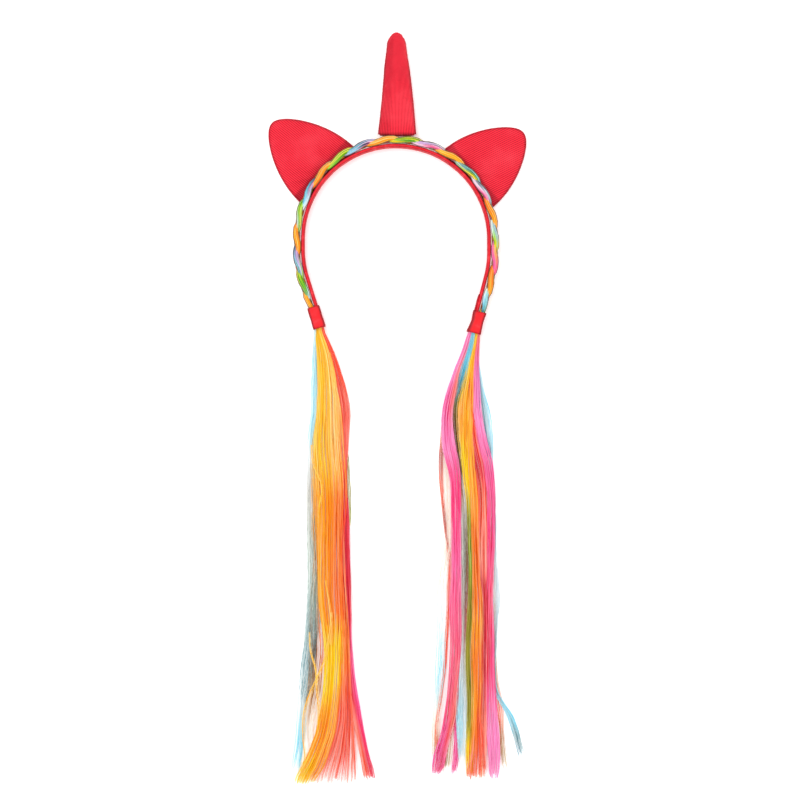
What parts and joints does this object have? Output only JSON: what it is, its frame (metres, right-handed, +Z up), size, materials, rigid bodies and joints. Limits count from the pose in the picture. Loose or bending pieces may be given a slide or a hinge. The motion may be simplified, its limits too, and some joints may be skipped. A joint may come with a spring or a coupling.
{
  "type": "unicorn horn headband",
  "caption": "Cloth-covered hair hoop with a padded horn, two padded ears, a braid of coloured hair along its edge and a long loose tail of hair from each end.",
  "frame": {"origin": "under the crown of the hoop, at the middle of its wall, on the back edge that it rests on", "axes": "+Y from the tails to the horn, +Z up off the surface that it lies on, towards the side that shows when it is seen from the front, +X to the right seen from above with the horn away from the viewer"},
  "size_m": [0.1805, 0.5284, 0.013],
  "materials": {
    "hoop_satin": "woven satin, soft sheen",
    "red_cloth": "finely ribbed twill, matt",
    "red_ribbon": "satin ribbon, soft sheen",
    "hair_gold": "straight synthetic hair, glossy along the strand",
    "hair_green": "straight synthetic hair, glossy along the strand",
    "hair_blue": "straight synthetic hair, glossy along the strand",
    "hair_tail_left": "loose synthetic hair in locks, glossy along the strand",
    "hair_tail_right": "loose synthetic hair in locks, glossy along the strand"
  },
  "bodies": {
    "root": {"hoop": "hoop_satin", "horn": "red_cloth", "ear_left": "red_cloth", "ear_right": "red_cloth", "braid_strand_1": "hair_gold", "braid_strand_2": "hair_green", "braid_strand_3": "hair_blue", "cuff_left": "red_ribbon", "cuff_right": "red_ribbon", "tail_left": "hair_tail_left", "tail_right": "hair_tail_right"}
  },
  "joints": []
}
